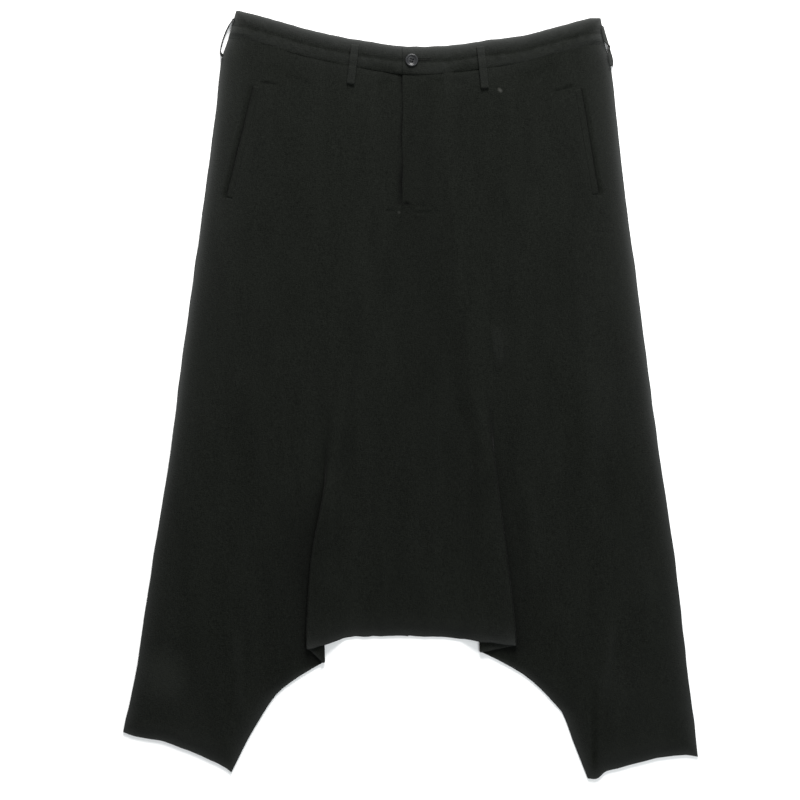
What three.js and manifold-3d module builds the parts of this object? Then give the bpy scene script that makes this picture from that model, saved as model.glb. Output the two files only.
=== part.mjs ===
// Drop-crotch harem trousers, laid flat on a surface with the front up.
// Millimetres. +X is the viewer's right, +Y runs up to the waist and +Z is up from the surface.
// Front and back are two layers of cloth. Each leg is tucked under the middle of the trousers by a
// fold that starts at nothing below the hip and turns right over at the crotch.

import * as THREE from 'three';
import { mergeVertices } from 'three/addons/utils/BufferGeometryUtils.js';
import Module from 'manifold-3d';

const wasm = await Module();
wasm.setup();

// Driving dimensions
const LENGTH = 897;
const CLOTH = 1.0;
const SEAM = 0.3;
const WAIST_SEAM = 0.8;
const FOLD_RADIUS = 1.6;
const LOOSE_ARC = 14;
const CLIMB = 26;
const BAND_HEIGHT = 33;
const BAND_BACK = 1.8;
const TAB_REACH = 24;
const TAB_SCALE = 0.55;
const LOOP_WIDTH = 9;
const LOOP_CLOTH = 1.5;
const WELT_WIDTH = 7;
const WELT_CLOTH = 0.9;
const BUTTON_RADIUS = 7.5;
const BUTTON_HOLE = 0.85;
const BUTTON_HOLE_OFFSET = 1.5;

// The line between the two layers, and how far each layer's outer face is from it
const LAYER_LINE = CLOTH + SEAM / 2;
const REACH = CLOTH + SEAM / 2;
const HALF_LENGTH = LENGTH / 2;

// A short table with named columns
const table = (names, rows) => rows.map((row) =>
  Object.fromEntries(row.map((value, i) => [names[i], value])));

// Each level of a side, measured down from the waist corner and out from the middle: the side seam,
// the visible edge of the fold, how far the cloth turns there in degrees, and the length tucked back.
const LEVEL_COLUMNS = ['down', 'side', 'fold', 'turn', 'tuck'];
const LEVELS = {
  left: table(LEVEL_COLUMNS, [
    [0, 204, 50, 0, 2],
    [35, 214, 52, 0, 2],
    [55, 220.9, 53, 0, 2],
    [70, 223.2, 53, 0, 2],
    [105, 226.5, 54, 0, 2],
    [160, 233, 55, 0, 2],
    [240, 244, 60, 3, 2],
    [320, 255, 70, 7, 2],
    [400, 266, 80, 12, 1.5],
    [450, 272.3, 88, 18, 1.5],
    [480, 276, 93, 26, 2],
    [505, 279.5, 95, 34, 2.5],
    [530, 283, 97.5, 58, 3.5],
    [560, 287.5, 101.5, 100, 5.5],
    [590, 292.5, 107, 145, 8.5],
    [640, 301, 116.5, 180, 13],
    [720, 313, 122, 180, 16],
    [760, 319, 122, 180, 16.5],
    [800, 326.5, 122, 180, 16.5],
    [845, 336.5, 122, 180, 16.5],
    [900, 346, 122, 180, 16.5],
  ]),
  right: table(LEVEL_COLUMNS, [
    [0, 220.3, 50, 0, 2],
    [18, 223.5, 51, 0, 2],
    [35, 226, 52, 0, 2],
    [46, 228.4, 52, 0, 2],
    [57, 232.2, 53, 0, 2],
    [70, 234.6, 53, 0, 2],
    [105, 238.5, 54, 0, 2],
    [160, 244, 55, 0, 2],
    [240, 253.5, 64, 4, 2],
    [320, 264.5, 74, 8, 2],
    [400, 274.5, 82, 16, 1.5],
    [450, 281, 88, 26, 1.5],
    [480, 285, 92, 44, 2.5],
    [505, 288.5, 95.5, 74, 4],
    [530, 292, 98.8, 120, 6.5],
    [560, 296.5, 102.5, 160, 10],
    [640, 308.5, 113, 180, 23.5],
    [720, 317.5, 122, 180, 36.5],
    [760, 322, 124, 180, 38],
    [800, 327, 124, 180, 38],
    [870, 335.5, 124, 180, 38],
    [900, 339, 124, 180, 38],
  ]),
};

// The waist's upper edge, from the middle
const WAIST = table(['across', 'down'], [
  [-212, 0],
  [-204, 0],
  [-187, 3.3],
  [-152, 12.9],
  [-118, 22.5],
  [-82, 30.5],
  [-48, 36.1],
  [-12, 41.6],
  [23, 42],
  [57, 39.2],
  [92, 34],
  [127, 29.8],
  [162, 21],
  [197, 11.8],
  [210, 8.8],
  [226, 8.8],
]);

// The crotch edge, as a share of the way from the middle seam out to the fold
const CROTCH = table(['share', 'left', 'right'], [
  [0, 730, 730],
  [0.35, 730.5, 731.2],
  [0.6, 731.5, 735],
  [0.78, 738, 737.5],
  [1, 745, 741],
]);

// The inner corner where each leg comes out, and the inseam below it
const CORNER = { left: 761, right: 749 };
const INSEAM = {
  left: table(['below', 'out'], [
    [0, 0],
    [16, 27],
    [33, 50],
    [47, 61.5],
    [66, 73.5],
    [90, 87.5],
    [129, 107],
  ]),
  right: table(['below', 'out'], [
    [0, 0],
    [6, 13],
    [25, 47],
    [44, 70],
    [57, 82],
    [70, 93.5],
    [105, 107],
    [149, 124.3],
  ]),
};

// The hem, as a share of the way from the inseam out to the side seam
const HEM = table(['share', 'left', 'right'], [
  [0, 889, 897],
  [0.08, 883, 897],
  [0.19, 877, 888],
  [0.4, 866, 881],
  [0.68, 853, 872],
  [0.88, 848, 869],
  [1, 842, 871],
]);

// The waistband's section, below its upper edge and up from its underside: two padded channels
const BAND = table(['below', 'rise'], [
  [0.5, 0],
  [0, 0.9],
  [0.8, 1.7],
  [4, 2.3],
  [9, 2.6],
  [14, 2.3],
  [17.6, 1.6],
  [21, 2.2],
  [25.5, 2.5],
  [30, 2.1],
  [32.5, 1.4],
  [33, 0.7],
  [32.5, 0],
]);
const BAND_TOP = BAND.slice(2, 11);

// Front belt loops: middle of each end, from the middle line and down from the waist corner
const FRONT_LOOPS = {
  left: { top: [-65, 40], foot: [-71, 87] },
  right: { top: [81, 42], foot: [86, 92] },
};

// Side belt loops stand out of the side seam: down, and out from the middle line
const SIDE_LOOPS = {
  left: table(['down', 'out'], [
    [9, 208.4],
    [15, 211.5],
    [23, 215.3],
    [33, 219],
    [43, 221.9],
    [49, 223.1],
    [54, 221.5],
  ]),
  right: table(['down', 'out'], [
    [18, 225.5],
    [25, 227.6],
    [32, 229.7],
    [39, 231.7],
    [46, 233.6],
    [53, 235.9],
    [59, 237],
    [65, 236.2],
  ]),
};
const SIDE_LOOP_LOW = 0.2;
const SIDE_LOOP_HIGH = 8.2;

// Pocket slits: upper and lower end, from the middle line and down from the waist corner
const POCKETS = {
  left: { top: [-184, 89], foot: [-215.5, 219] },
  right: { top: [199, 92], foot: [219.5, 215] },
};

const BUTTON_AT = { across: 1, down: 58.5 };
const FLY = { top: 72, foot: 228, edge: -10, reach: 24 };

// Small maths
const clamp01 = (t) => Math.min(1, Math.max(0, t));
const ease = (t) => clamp01(t) ** 2 * (3 - 2 * clamp01(t));
const mix = (a, b, t) => a + (b - a) * t;

// A smooth curve through one column of a table
function along(rows, key, column, at) {
  const last = rows.length - 1;
  const slope = (i) => {
    const a = rows[Math.max(0, i - 1)];
    const b = rows[Math.min(last, i + 1)];
    return (b[column] - a[column]) / (b[key] - a[key]);
  };
  const value = Math.min(rows[last][key], Math.max(rows[0][key], at));
  let i = 0;
  while (i < last - 1 && rows[i + 1][key] < value) i += 1;
  const width = rows[i + 1][key] - rows[i][key];
  const t = (value - rows[i][key]) / width;
  const [t2, t3] = [t * t, t * t * t];
  return (2 * t3 - 3 * t2 + 1) * rows[i][column] + (t3 - 2 * t2 + t) * width * slope(i)
    + (3 * t2 - 2 * t3) * rows[i + 1][column] + (t3 - t2) * width * slope(i + 1);
}

const waistDown = (x) => along(WAIST, 'across', 'down', x);

// The level at a distance below the waist, on a line whose place across changes with its level
function levelBelow(below, acrossAt) {
  let down = below;
  for (let i = 0; i < 6; i += 1) down = waistDown(acrossAt(down)) + below;
  return down;
}

const seamX = (down) => mix(FLY.edge, -3, clamp01((down - FLY.foot) / 500));

// Cloth panels

// How the two layers run through the fold at one level
function foldAt(side, down) {
  const level = (column) => along(LEVELS[side], 'down', column, down);
  const turn = Math.min(180, Math.max(0, level('turn')));
  const angle = Math.max(0.02, turn * Math.PI / 180);
  const tuck = level('tuck');
  const radius = Math.min(LOOSE_ARC / angle, 2 * FOLD_RADIUS / (1 - Math.cos(angle)));
  const upright = Math.sin(Math.min(angle, Math.PI / 2));
  const start = level('fold') - (radius + REACH) * upright;
  const back = radius * Math.sin(angle) + tuck * Math.cos(angle);
  const drop = 2 * radius * (1 - Math.cos(angle)) + tuck * Math.sin(angle);
  const inner = angle > Math.PI / 2
    ? start + back - radius * (1 - Math.sin(angle)) - REACH : start;
  return {
    angle,
    tuck,
    radius,
    start,
    drop,
    open: 1 - ease(turn / 70),
    fold: level('fold'),
    side: level('side'),
    climbEnd: Math.min(start, inner),
    legStart: start + back + radius * Math.sin(angle),
  };
}

// The inner edge of a leg: the end of the fold, and the inseam below the corner
function legInner(side, down) {
  const corner = foldAt(side, Math.min(down, CORNER[side]));
  return corner.legStart + along(INSEAM[side], 'below', 'out', Math.max(0, down - CORNER[side]));
}

// The stations across a panel: the middle, out through the fold and across the leg
const spread = (zone, parts) => parts.map((part) => ({ zone, part }));
const STATIONS = [
  ...spread('middle', [0, 0.22, 0.42, 0.58, 0.7, 0.8, 0.9]),
  ...spread('outer', [0, 0.2, 0.4, 0.6, 0.8]),
  ...spread('return', [0, 0.5]),
  ...spread('inner', [0, 0.2, 0.4, 0.6, 0.8]),
  ...spread('leg', [0, 0.05, 0.13, 0.26, 0.42, 0.58, 0.74, 0.86, 0.94, 1]),
];
const FIRST_LEG = STATIONS.findIndex(({ zone }) => zone === 'leg');
const BODY_ROWS = [
  0, 0.06, 0.15, 0.25, 0.34, 0.42, 0.49, 0.56, 0.595, 0.63, 0.665, 0.7, 0.74, 0.78, 0.82, 0.87, 0.95, 0.98, 1,
];
const LEG_ROWS = [0.06, 0.13, 0.21, 0.3, 0.42, 0.56, 0.75, 0.94, 1];

// Where a station lies at one level: out from the middle line, up, and how far it leans over
function place(side, station, down) {
  const { zone, part } = station;
  const f = foldAt(side, down);
  const sign = side === 'left' ? -1 : 1;
  if (zone === 'middle') {
    const out = mix(sign * seamX(down) + SEAM / 2, f.start, part);
    const climb = ease((out - f.climbEnd + CLIMB) / CLIMB);
    return { out, up: LAYER_LINE + f.drop * climb, lean: 0, f };
  }
  if (zone === 'leg') {
    const out = mix(legInner(side, down), f.side, part);
    return { out, up: LAYER_LINE, lean: 0, f };
  }
  const top = LAYER_LINE + f.drop;
  const arcOut = f.radius * Math.sin(f.angle);
  const arcDrop = f.radius * (1 - Math.cos(f.angle));
  if (zone === 'outer') {
    const lean = part * f.angle;
    const out = f.start + f.radius * Math.sin(lean);
    return { out, up: top - f.radius * (1 - Math.cos(lean)), lean, f };
  }
  if (zone === 'return') {
    const run = part * f.tuck;
    const out = f.start + arcOut + run * Math.cos(f.angle);
    return { out, up: top - arcDrop - run * Math.sin(f.angle), lean: f.angle, f };
  }
  const lean = (1 - part) * f.angle;
  const out = f.legStart - f.radius * Math.sin(lean);
  return { out, up: LAYER_LINE + f.radius * (1 - Math.cos(lean)), lean, f };
}

// Where a column of the panel ends: at the crotch edge, the tucked edge or the corner
function bodyEnd(side, station) {
  const foldEnd = CROTCH.at(-1)[side];
  if (station.zone === 'middle') return along(CROTCH, 'share', side, station.part);
  if (station.zone === 'outer') return foldEnd;
  if (station.zone === 'return') return mix(foldEnd, CORNER[side], station.part);
  return CORNER[side];
}

// The air between the layers lifts the front, most in the open parts and not at all at the edges
function air(side, station, down, end, at) {
  const { f, out } = at;
  const waistRise = mix(1.6, 3.2, ease((down - 70) / 90));
  const sideEdge = ease((f.side - out) / 26);
  const lowEdge = ease((end - down) / 16);
  if (station.zone === 'middle') {
    const flyRise = side === 'right' ? 1.3 : 0;
    const flyLap = flyRise * ease((TAB_REACH + 14 - out) / 14) * ease((FLY.foot + 10 - down) / 16);
    return waistRise * lowEdge * mix(ease((f.start - out) / 20), 1, f.open) + flyLap;
  }
  if (station.zone === 'leg') {
    const clear = mix(ease((out - f.fold - 3) / 24), 1, f.open);
    const inseam = down > CORNER[side] ? ease((out - legInner(side, down)) / 24) : 1;
    return waistRise * clear * sideEdge * inseam * lowEdge;
  }
  return waistRise * f.open * lowEdge;
}

// A front or back panel: a wall on one side of the line between the layers
function panel(side, isFront) {
  const sign = side === 'left' ? -1 : 1;
  const rows = BODY_ROWS.length + LEG_ROWS.length;
  const near = [];
  const far = [];
  for (let i = 0; i < rows; i += 1) {
    near.push([]);
    far.push([]);
    STATIONS.forEach((station, j) => {
      const isLeg = j >= FIRST_LEG;
      if (i >= BODY_ROWS.length && !isLeg) return;
      const end = bodyEnd(side, station);
      const hem = along(HEM, 'share', side, station.part);
      const top = levelBelow(BAND_HEIGHT + WAIST_SEAM, (level) => sign * place(side, station, level).out);
      const down = i < BODY_ROWS.length
        ? mix(top, end, BODY_ROWS[i]) : mix(end, hem, LEG_ROWS[i - BODY_ROWS.length]);
      const at = place(side, station, down);
      const lift = isFront ? SEAM / 2 + air(side, station, down, isLeg ? hem : end, at) : -SEAM / 2;
      const thick = isFront ? CLOTH : -CLOTH;
      const point = (offset) => new THREE.Vector3(
        sign * (at.out + Math.sin(at.lean) * offset),
        HALF_LENGTH - down,
        at.up + Math.cos(at.lean) * offset,
      );
      near[i][j] = point(lift);
      far[i][j] = point(lift + thick);
    });
  }
  return wall(near, far);
}

// A closed wall between two grids of points, where a grid may lack a corner
function wall(near, far) {
  const points = [];
  const index = [near, far].map((grid) => grid.map((row) => row.map((point) => points.push(point) - 1)));
  const [low, high] = index;
  const has = (i, j) => low[i]?.[j] !== undefined;
  const cell = (i, j) => has(i, j) && has(i + 1, j) && has(i, j + 1) && has(i + 1, j + 1);
  const faces = [];
  const quad = (a, b, c, d) => faces.push(a, b, c, a, c, d);
  for (let i = 0; i < near.length - 1; i += 1) {
    for (let j = 0; j < near[i].length - 1; j += 1) {
      if (!cell(i, j)) continue;
      const corners = [[i, j], [i + 1, j], [i + 1, j + 1], [i, j + 1]];
      const beyond = [[i, j - 1], [i + 1, j], [i, j + 1], [i - 1, j]];
      quad(...corners.map(([r, c]) => high[r][c]));
      quad(...corners.map(([r, c]) => low[r][c]).reverse());
      beyond.forEach(([r, c], k) => {
        if (r >= 0 && c >= 0 && cell(r, c)) return;
        const [a, b] = [corners[k], corners[(k + 1) % 4]];
        quad(low[a[0]][a[1]], low[b[0]][b[1]], high[b[0]][b[1]], high[a[0]][a[1]]);
      });
    }
  }
  return solid(points, faces);
}

// A closed body through a row of rings with as many points each, closed at both ends
function loft(rings) {
  const points = rings.flat();
  const count = rings[0].length;
  const faces = [];
  for (let i = 0; i < rings.length - 1; i += 1) {
    for (let k = 0; k < count; k += 1) {
      const [a, b] = [i * count + k, i * count + (k + 1) % count];
      faces.push(a, b, b + count, a, b + count, a + count);
    }
  }
  [0, rings.length - 1].forEach((i) => {
    const middle = rings[i].reduce((sum, p) => sum.add(p), new THREE.Vector3()).divideScalar(count);
    const centre = points.push(middle) - 1;
    for (let k = 0; k < count; k += 1) {
      const [a, b] = [i * count + k, i * count + (k + 1) % count];
      faces.push(...(i === 0 ? [centre, b, a] : [centre, a, b]));
    }
  });
  return solid(points, faces);
}

// A geometry from points and faces, turned so that its faces point out
function solid(points, faces) {
  let volume = 0;
  for (let k = 0; k < faces.length; k += 3) {
    const [a, b, c] = [points[faces[k]], points[faces[k + 1]], points[faces[k + 2]]];
    volume += a.dot(new THREE.Vector3().crossVectors(b, c));
  }
  if (volume < 0) faces.reverse();
  const geometry = new THREE.BufferGeometry().setFromPoints(points);
  geometry.setIndex(faces);
  geometry.computeVertexNormals();
  return geometry;
}

// Waistband

// The right end laps over the left end, which runs on under it as a tab
const bandBase = {
  left: () => BAND_BACK + SEAM,
  right: (x) => BAND_BACK + SEAM + 1.8 * ease((TAB_REACH + 24 - x) / 20),
};
const bandScale = {
  left: (x) => (x > FLY.edge - 2 ? TAB_SCALE : 1),
  right: () => 1,
};
const bandSide = (side, down) => along(LEVELS[side], 'down', 'side', down);

// Columns of a front waistband from the fly out to the side seam, square to the side at its end
function bandColumns(side) {
  const edge = FLY.edge;
  if (side === 'left') {
    const run = Array.from({ length: 15 }, (_, i) => ({ out: -edge + 2 + SEAM, part: i / 14 }));
    const tab = [-TAB_REACH, -TAB_REACH / 2, 0, -edge - 0.5].map((out) => ({ out, part: 0 }));
    return [...tab, ...run];
  }
  const lap = [0, 9, 18, 27, 36, 45].map((step) => ({ out: edge + step, part: 0 }));
  const run = Array.from({ length: 12 }, (_, i) => ({ out: edge + 55, part: i / 11 }));
  return [...lap, ...run];
}

function frontBand(side) {
  const sign = side === 'left' ? -1 : 1;
  const rings = bandColumns(side).map(({ out, part }) => BAND.map(({ below, rise }) => {
    const across = (level) => sign * mix(out, bandSide(side, level) - SEAM, part);
    const down = levelBelow(below, across);
    const x = across(down);
    const atSide = ease((bandSide(side, down) - sign * x) / 14);
    const height = rise * bandScale[side](x) * mix(0.75, 1, atSide);
    return new THREE.Vector3(x, HALF_LENGTH - down, bandBase[side](x) + height);
  }));
  return loft(rings);
}

function backBand() {
  const steps = 40;
  const rings = Array.from({ length: steps + 1 }, (_, i) => {
    const section = [[0, 0], [0, BAND_BACK], [BAND_HEIGHT, BAND_BACK], [BAND_HEIGHT, 0]];
    return section.map(([below, up]) => {
      const across = (level) => mix(SEAM - bandSide('left', level), bandSide('right', level) - SEAM, i / steps);
      const down = levelBelow(below, across);
      return new THREE.Vector3(across(down), HALF_LENGTH - down, up);
    });
  });
  return loft(rings);
}

// What lies on the front

// The top of the cloth or waistband at a place on the hips
function topAt(x, down) {
  const side = x < seamX(down) ? 'left' : 'right';
  const below = down - waistDown(x);
  if (below < BAND_HEIGHT) {
    const rise = along(BAND_TOP, 'below', 'rise', Math.max(1, below));
    return bandBase[side](x) + rise * bandScale[side](x);
  }
  const out = Math.abs(x);
  const f = foldAt(side, down);
  const zone = out < f.start ? 'middle' : 'leg';
  const lift = air(side, { zone }, down, LENGTH, { f, out });
  return LAYER_LINE + REACH + lift;
}

// A strip of cloth over a path of places, each with its lift off what lies below it
function strip(path, width, thick) {
  const rings = path.map(({ x, down, lift }, i) => {
    const before = path[Math.max(0, i - 1)];
    const after = path[Math.min(path.length - 1, i + 1)];
    const run = new THREE.Vector2(after.x - before.x, before.down - after.down).normalize();
    const corner = (side, up) => {
      const px = x - run.y * side;
      const pdown = down - run.x * side;
      return new THREE.Vector3(px, HALF_LENGTH - pdown, topAt(px, pdown) + SEAM + lift + up);
    };
    const half = width / 2;
    return [
      corner(-half + 0.4, 0),
      corner(-half, thick / 2),
      corner(-half + 0.4, thick),
      corner(0, thick),
      corner(half - 0.4, thick),
      corner(half, thick / 2),
      corner(half - 0.4, 0),
      corner(0, 0),
    ];
  });
  return loft(rings);
}

function frontLoop(side) {
  const { top, foot } = FRONT_LOOPS[side];
  const steps = 14;
  const path = Array.from({ length: steps + 1 }, (_, i) => {
    const t = i / steps;
    const belly = Math.sin(Math.PI * t) ** 0.7;
    return { x: mix(top[0], foot[0], t), down: mix(top[1], foot[1], t), lift: 0.25 + 1.7 * belly };
  });
  return strip(path, LOOP_WIDTH, LOOP_CLOTH);
}

function welt(side) {
  const { top, foot } = POCKETS[side];
  const inward = side === 'left' ? WELT_WIDTH / 2 : -WELT_WIDTH / 2;
  const steps = 12;
  const path = Array.from({ length: steps + 1 }, (_, i) => {
    const t = i / steps;
    return { x: mix(top[0], foot[0], t) + inward, down: mix(top[1], foot[1], t), lift: 0 };
  });
  return strip(path, WELT_WIDTH, WELT_CLOTH);
}

// A side loop: a band of cloth on edge, bowed out from the side seam
function sideLoop(side) {
  const sign = side === 'left' ? -1 : 1;
  const rows = SIDE_LOOPS[side];
  const first = rows[0].down;
  const last = rows.at(-1).down;
  const steps = 18;
  const rings = Array.from({ length: steps + 1 }, (_, i) => {
    const down = mix(first, last, i / steps);
    const out = along(rows, 'down', 'out', down);
    const slope = (along(rows, 'down', 'out', down + 1) - along(rows, 'down', 'out', down - 1)) / 2;
    const across = new THREE.Vector2(1, slope).normalize().multiplyScalar(LOOP_CLOTH);
    const point = (layer, up) => new THREE.Vector3(
      sign * (out - across.x * layer),
      HALF_LENGTH - down - across.y * layer,
      up,
    );
    return [
      point(0, SIDE_LOOP_LOW),
      point(0, SIDE_LOOP_HIGH),
      point(1, SIDE_LOOP_HIGH),
      point(1, SIDE_LOOP_LOW),
    ];
  });
  return loft(rings);
}

// The underlap lies between the back and the fly, just under the front
function flyUnderlap() {
  const stepsDown = 8;
  const near = [];
  const far = [];
  for (let i = 0; i <= stepsDown; i += 1) {
    const down = mix(FLY.top + 4, FLY.foot, i / stepsDown);
    const spots = [0, 0.25, 0.5, 0.75, 1].map((t) => mix(FLY.edge - 6, FLY.reach, t));
    const point = (x, up) => new THREE.Vector3(x, HALF_LENGTH - down, up);
    near.push(spots.map((x) => point(x, LAYER_LINE + SEAM)));
    far.push(spots.map((x) => point(x, LAYER_LINE + SEAM + 0.6 * CLOTH)));
  }
  return wall(near, far);
}

// Button

// A closed geometry as a solid for cutting
function asSolid(geometry) {
  geometry.deleteAttribute('normal');
  geometry.deleteAttribute('uv');
  const merged = mergeVertices(geometry, 1e-4);
  const faces = [];
  for (let k = 0; k < merged.index.count; k += 3) {
    const [a, b, c] = [0, 1, 2].map((n) => merged.index.getX(k + n));
    if (a !== b && b !== c && a !== c) faces.push(a, b, c);
  }
  return new wasm.Manifold(new wasm.Mesh({
    numProp: 3,
    vertProperties: new Float32Array(merged.attributes.position.array),
    triVerts: new Uint32Array(faces),
  }));
}

function asGeometry(cut) {
  const mesh = cut.getMesh();
  const geometry = new THREE.BufferGeometry();
  geometry.setAttribute('position', new THREE.BufferAttribute(new Float32Array(mesh.vertProperties), 3));
  geometry.setIndex(Array.from(mesh.triVerts));
  geometry.computeVertexNormals();
  return geometry;
}

function button() {
  const profile = [
    [0, 0],
    [6.4, 0],
    [BUTTON_RADIUS, 0.8],
    [BUTTON_RADIUS, 1.7],
    [6.9, 2.4],
    [6.0, 2.5],
    [5.2, 2.0],
    [4.6, 1.5],
    [0, 1.4],
  ].map(([radius, up]) => new THREE.Vector2(radius, up));
  let body = asSolid(new THREE.LatheGeometry(profile, 36));
  [[-1, -1], [1, -1], [1, 1], [-1, 1]].forEach(([a, b]) => {
    const hole = new THREE.CylinderGeometry(BUTTON_HOLE, BUTTON_HOLE, 8, 10);
    hole.translate(a * BUTTON_HOLE_OFFSET, 0, b * BUTTON_HOLE_OFFSET);
    body = body.subtract(asSolid(hole));
  });
  return asGeometry(body).rotateX(Math.PI / 2);
}

// Materials and the model
const clothMaterial = new THREE.MeshStandardMaterial({ color: 0x1c1d1b, roughness: 0.92, metalness: 0 });
const buttonMaterial = new THREE.MeshStandardMaterial({ color: 0x26272a, roughness: 0.38, metalness: 0 });

const group = new THREE.Group();

function add(name, geometry, material = clothMaterial) {
  const mesh = new THREE.Mesh(geometry, material);
  mesh.name = name;
  group.add(mesh);
  return mesh;
}

for (const side of ['left', 'right']) {
  add(`front_${side}`, panel(side, true));
  add(`back_${side}`, panel(side, false));
  add(`waistband_${side}`, frontBand(side));
  add(`belt_loop_front_${side}`, frontLoop(side));
  add(`belt_loop_side_${side}`, sideLoop(side));
  add(`pocket_welt_${side}`, welt(side));
}
add('waistband_back', backBand());
add('fly_underlap', flyUnderlap());

const buttonMesh = add('button', button(), buttonMaterial);
const buttonSpots = [-BUTTON_RADIUS / 2, 0, BUTTON_RADIUS / 2];
const buttonSeat = Math.max(...buttonSpots.map((step) => topAt(BUTTON_AT.across, BUTTON_AT.down + step)));
buttonMesh.position.set(BUTTON_AT.across, HALF_LENGTH - BUTTON_AT.down, buttonSeat + SEAM);

export default group;
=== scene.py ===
"""Drop-crotch harem trousers in black wool crepe, laid flat with the front up.

Lengths are worked out in millimetres, as the pattern is, and go into the meshes in metres.
"Across" is from the middle line to the viewer's right, "down" is from the waist corner towards the
hems, "out" is from the middle line towards a side seam and "up" is from the surface.
"""

import math
from types import SimpleNamespace

import bpy
import numpy as np
from mathutils import Matrix, Vector, noise


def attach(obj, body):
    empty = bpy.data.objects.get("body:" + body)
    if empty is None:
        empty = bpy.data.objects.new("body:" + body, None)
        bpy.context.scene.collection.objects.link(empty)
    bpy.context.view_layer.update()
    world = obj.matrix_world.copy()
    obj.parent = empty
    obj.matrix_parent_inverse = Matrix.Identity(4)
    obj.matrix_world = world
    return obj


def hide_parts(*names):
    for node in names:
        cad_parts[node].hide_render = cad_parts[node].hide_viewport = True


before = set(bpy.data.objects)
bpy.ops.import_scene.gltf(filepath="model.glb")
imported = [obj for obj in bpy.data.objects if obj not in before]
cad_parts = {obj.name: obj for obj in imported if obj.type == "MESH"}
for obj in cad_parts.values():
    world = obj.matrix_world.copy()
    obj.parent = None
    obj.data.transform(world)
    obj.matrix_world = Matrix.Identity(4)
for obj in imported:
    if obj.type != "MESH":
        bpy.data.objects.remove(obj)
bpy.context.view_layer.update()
MM = 0.001

# Sizes of the pattern
LENGTH = 897.0
HALF_LENGTH = LENGTH / 2
CLOTH = 1.0
SEAM = 0.3
FOLD_RADIUS = 1.6
LOOSE_ARC = 14.0
CLIMB = 26.0
AIR_AT_WAIST = 1.6
AIR_BELOW = 3.2
FLY_LAP_RISE = 1.3
BAND_HEIGHT = 33.0
BAND_BACK = 1.8
TAB_REACH = 24.0
TAB_SCALE = 0.55
LOOP_WIDTH = 9.0
LOOP_CLOTH = 1.5
WELT_WIDTH = 7.0
WELT_CLOTH = 0.9
HALF_WALL = CLOTH + SEAM / 2
LAYER_LINE = HALF_WALL
SIDES = ("left", "right")
SIGN = {"left": -1.0, "right": 1.0}


def table(names, rows):
    """A short table as one array for each named column."""
    return {name: np.array(column, float) for name, column in zip(names, zip(*rows))}


# Each level of a side: the side seam, the visible edge of the fold, how far the cloth turns there
# in degrees, and the length tucked back
LEVEL_COLUMNS = ("down", "side", "fold", "turn", "tuck")
LEVELS = {
    "left": table(LEVEL_COLUMNS, [
        (0, 204, 50, 0, 2),
        (35, 214, 52, 0, 2),
        (55, 220.9, 53, 0, 2),
        (70, 223.2, 53, 0, 2),
        (105, 226.5, 54, 0, 2),
        (160, 233, 55, 0, 2),
        (240, 244, 60, 3, 2),
        (320, 255, 70, 7, 2),
        (400, 266, 80, 12, 1.5),
        (450, 272.3, 88, 18, 1.5),
        (480, 276, 93, 26, 2),
        (505, 279.5, 95, 34, 2.5),
        (530, 283, 97.5, 58, 3.5),
        (560, 287.5, 101.5, 100, 5.5),
        (590, 292.5, 107, 145, 8.5),
        (640, 301, 116.5, 180, 13),
        (720, 313, 122, 180, 16),
        (760, 319, 122, 180, 16.5),
        (800, 326.5, 122, 180, 16.5),
        (845, 336.5, 122, 180, 16.5),
        (900, 346, 122, 180, 16.5),
    ]),
    "right": table(LEVEL_COLUMNS, [
        (0, 220.3, 50, 0, 2),
        (18, 223.5, 51, 0, 2),
        (35, 226, 52, 0, 2),
        (46, 228.4, 52, 0, 2),
        (57, 232.2, 53, 0, 2),
        (70, 234.6, 53, 0, 2),
        (105, 238.5, 54, 0, 2),
        (160, 244, 55, 0, 2),
        (240, 253.5, 64, 4, 2),
        (320, 264.5, 74, 8, 2),
        (400, 274.5, 82, 16, 1.5),
        (450, 281, 88, 26, 1.5),
        (480, 285, 92, 44, 2.5),
        (505, 288.5, 95.5, 74, 4),
        (530, 292, 98.8, 120, 6.5),
        (560, 296.5, 102.5, 160, 10),
        (640, 308.5, 113, 180, 23.5),
        (720, 317.5, 122, 180, 36.5),
        (760, 322, 124, 180, 38),
        (800, 327, 124, 180, 38),
        (870, 335.5, 124, 180, 38),
        (900, 339, 124, 180, 38),
    ]),
}

# The waist's upper edge
WAIST = table(("across", "down"), [
    (-212, 0),
    (-204, 0),
    (-187, 3.3),
    (-152, 12.9),
    (-118, 22.5),
    (-82, 30.5),
    (-48, 36.1),
    (-12, 41.6),
    (23, 42),
    (57, 39.2),
    (92, 34),
    (127, 29.8),
    (162, 21),
    (197, 11.8),
    (210, 8.8),
    (226, 8.8),
])

# The crotch edge, as a share of the way from the middle seam out to the fold
CROTCH = table(("share", "left", "right"), [
    (0, 730, 730),
    (0.35, 730.5, 731.2),
    (0.6, 731.5, 735),
    (0.78, 738, 737.5),
    (1, 745, 741),
])

# The inner corner where each leg comes out, and the inseam below it
CORNER = {"left": 761.0, "right": 749.0}
INSEAM = {
    "left": table(("below", "out"), [
        (0, 0),
        (16, 27),
        (33, 50),
        (47, 61.5),
        (66, 73.5),
        (90, 87.5),
        (129, 107),
    ]),
    "right": table(("below", "out"), [
        (0, 0),
        (6, 13),
        (25, 47),
        (44, 70),
        (57, 82),
        (70, 93.5),
        (105, 107),
        (149, 124.3),
    ]),
}

# The hem, as a share of the way from the inseam out to the side seam
HEM = table(("share", "left", "right"), [
    (0, 889, 897),
    (0.08, 883, 897),
    (0.19, 877, 888),
    (0.4, 866, 881),
    (0.68, 853, 872),
    (0.88, 848, 869),
    (1, 842, 871),
])

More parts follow.
